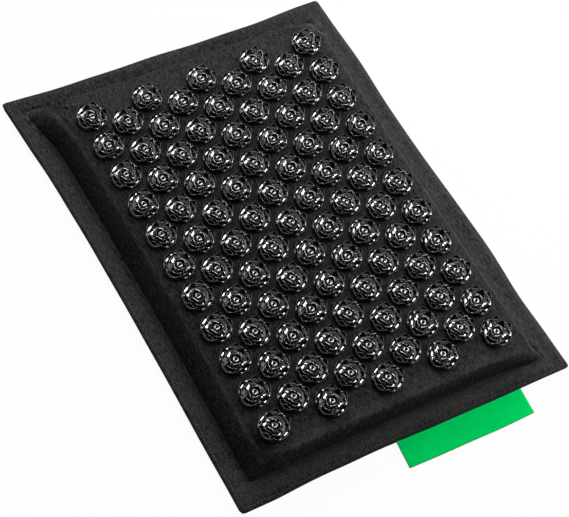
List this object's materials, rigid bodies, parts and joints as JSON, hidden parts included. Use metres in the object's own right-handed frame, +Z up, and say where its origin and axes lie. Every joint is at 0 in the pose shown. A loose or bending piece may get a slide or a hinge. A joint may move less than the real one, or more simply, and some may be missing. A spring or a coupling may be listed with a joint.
{
  "type": "massage mat",
  "caption": "Rectangular acupressure mat: foam pad in a flanged cloth cover, covered with flower-shaped spike discs in staggered columns, with a folded label loop on one short edge.",
  "frame": {"origin": "centre of the underside, at the middle of the cover's outline, label not counted", "axes": "+X along the short edge that carries the label, +Y away from that edge along the mat, +Z up out of the spikes"},
  "size_m": [0.284, 0.4024, 0.0288],
  "materials": {
    "cover_cloth": "charcoal linen-like plain weave",
    "back_cloth": "charcoal plain weave, back of the cover",
    "disc_plastic": "black moulded plastic, glossy",
    "foam": "open-cell foam slab, hidden in the cover",
    "label_ribbon": "green woven ribbon, plain",
    "closure": "black hook and loop tape"
  },
  "bodies": {
    "root": {"top_panel": "cover_cloth", "foam_core": "foam", "back_panel_main": "back_cloth", "back_panel_flap": "back_cloth", "hook_strip": "closure", "loop_strip": "closure", "label": "label_ribbon", "spike_disc_c2_r01": "disc_plastic", "spike_disc_c2_r02": "disc_plastic", "spike_disc_c2_r03": "disc_plastic", "spike_disc_c2_r04": "disc_plastic", "spike_disc_c2_r05": "disc_plastic", "spike_disc_c2_r06": "disc_plastic", "spike_disc_c2_r07": "disc_plastic", "spike_disc_c2_r08": "disc_plastic", "spike_disc_c2_r09": "disc_plastic", "spike_disc_c2_r10": "disc_plastic", "spike_disc_c4_r01": "disc_plastic", "spike_disc_c4_r02": "disc_plastic", "spike_disc_c4_r03": "disc_plastic", "spike_disc_c4_r04": "disc_plastic", "spike_disc_c4_r05": "disc_plastic", "spike_disc_c4_r06": "disc_plastic", "spike_disc_c4_r07": "disc_plastic", "spike_disc_c4_r08": "disc_plastic", "spike_disc_c4_r09": "disc_plastic", "spike_disc_c4_r10": "disc_plastic", "spike_disc_c6_r01": "disc_plastic", "spike_disc_c6_r02": "disc_plastic", "spike_disc_c6_r03": "disc_plastic", "spike_disc_c6_r04": "disc_plastic", "spike_disc_c6_r05": "disc_plastic", "spike_disc_c6_r06": "disc_plastic", "spike_disc_c6_r07": "disc_plastic", "spike_disc_c6_r08": "disc_plastic", "spike_disc_c6_r09": "disc_plastic", "spike_disc_c6_r10": "disc_plastic", "spike_disc_c8_r01": "disc_plastic", "spike_disc_c8_r02": "disc_plastic", "spike_disc_c8_r03": "disc_plastic", "spike_disc_c8_r04": "disc_plastic", "spike_disc_c8_r05": "disc_plastic", "spike_disc_c8_r06": "disc_plastic", "spike_disc_c8_r07": "disc_plastic", "spike_disc_c8_r08": "disc_plastic", "spike_disc_c8_r09": "disc_plastic", "spike_disc_c8_r10": "disc_plastic"}
  },
  "joints": []
}
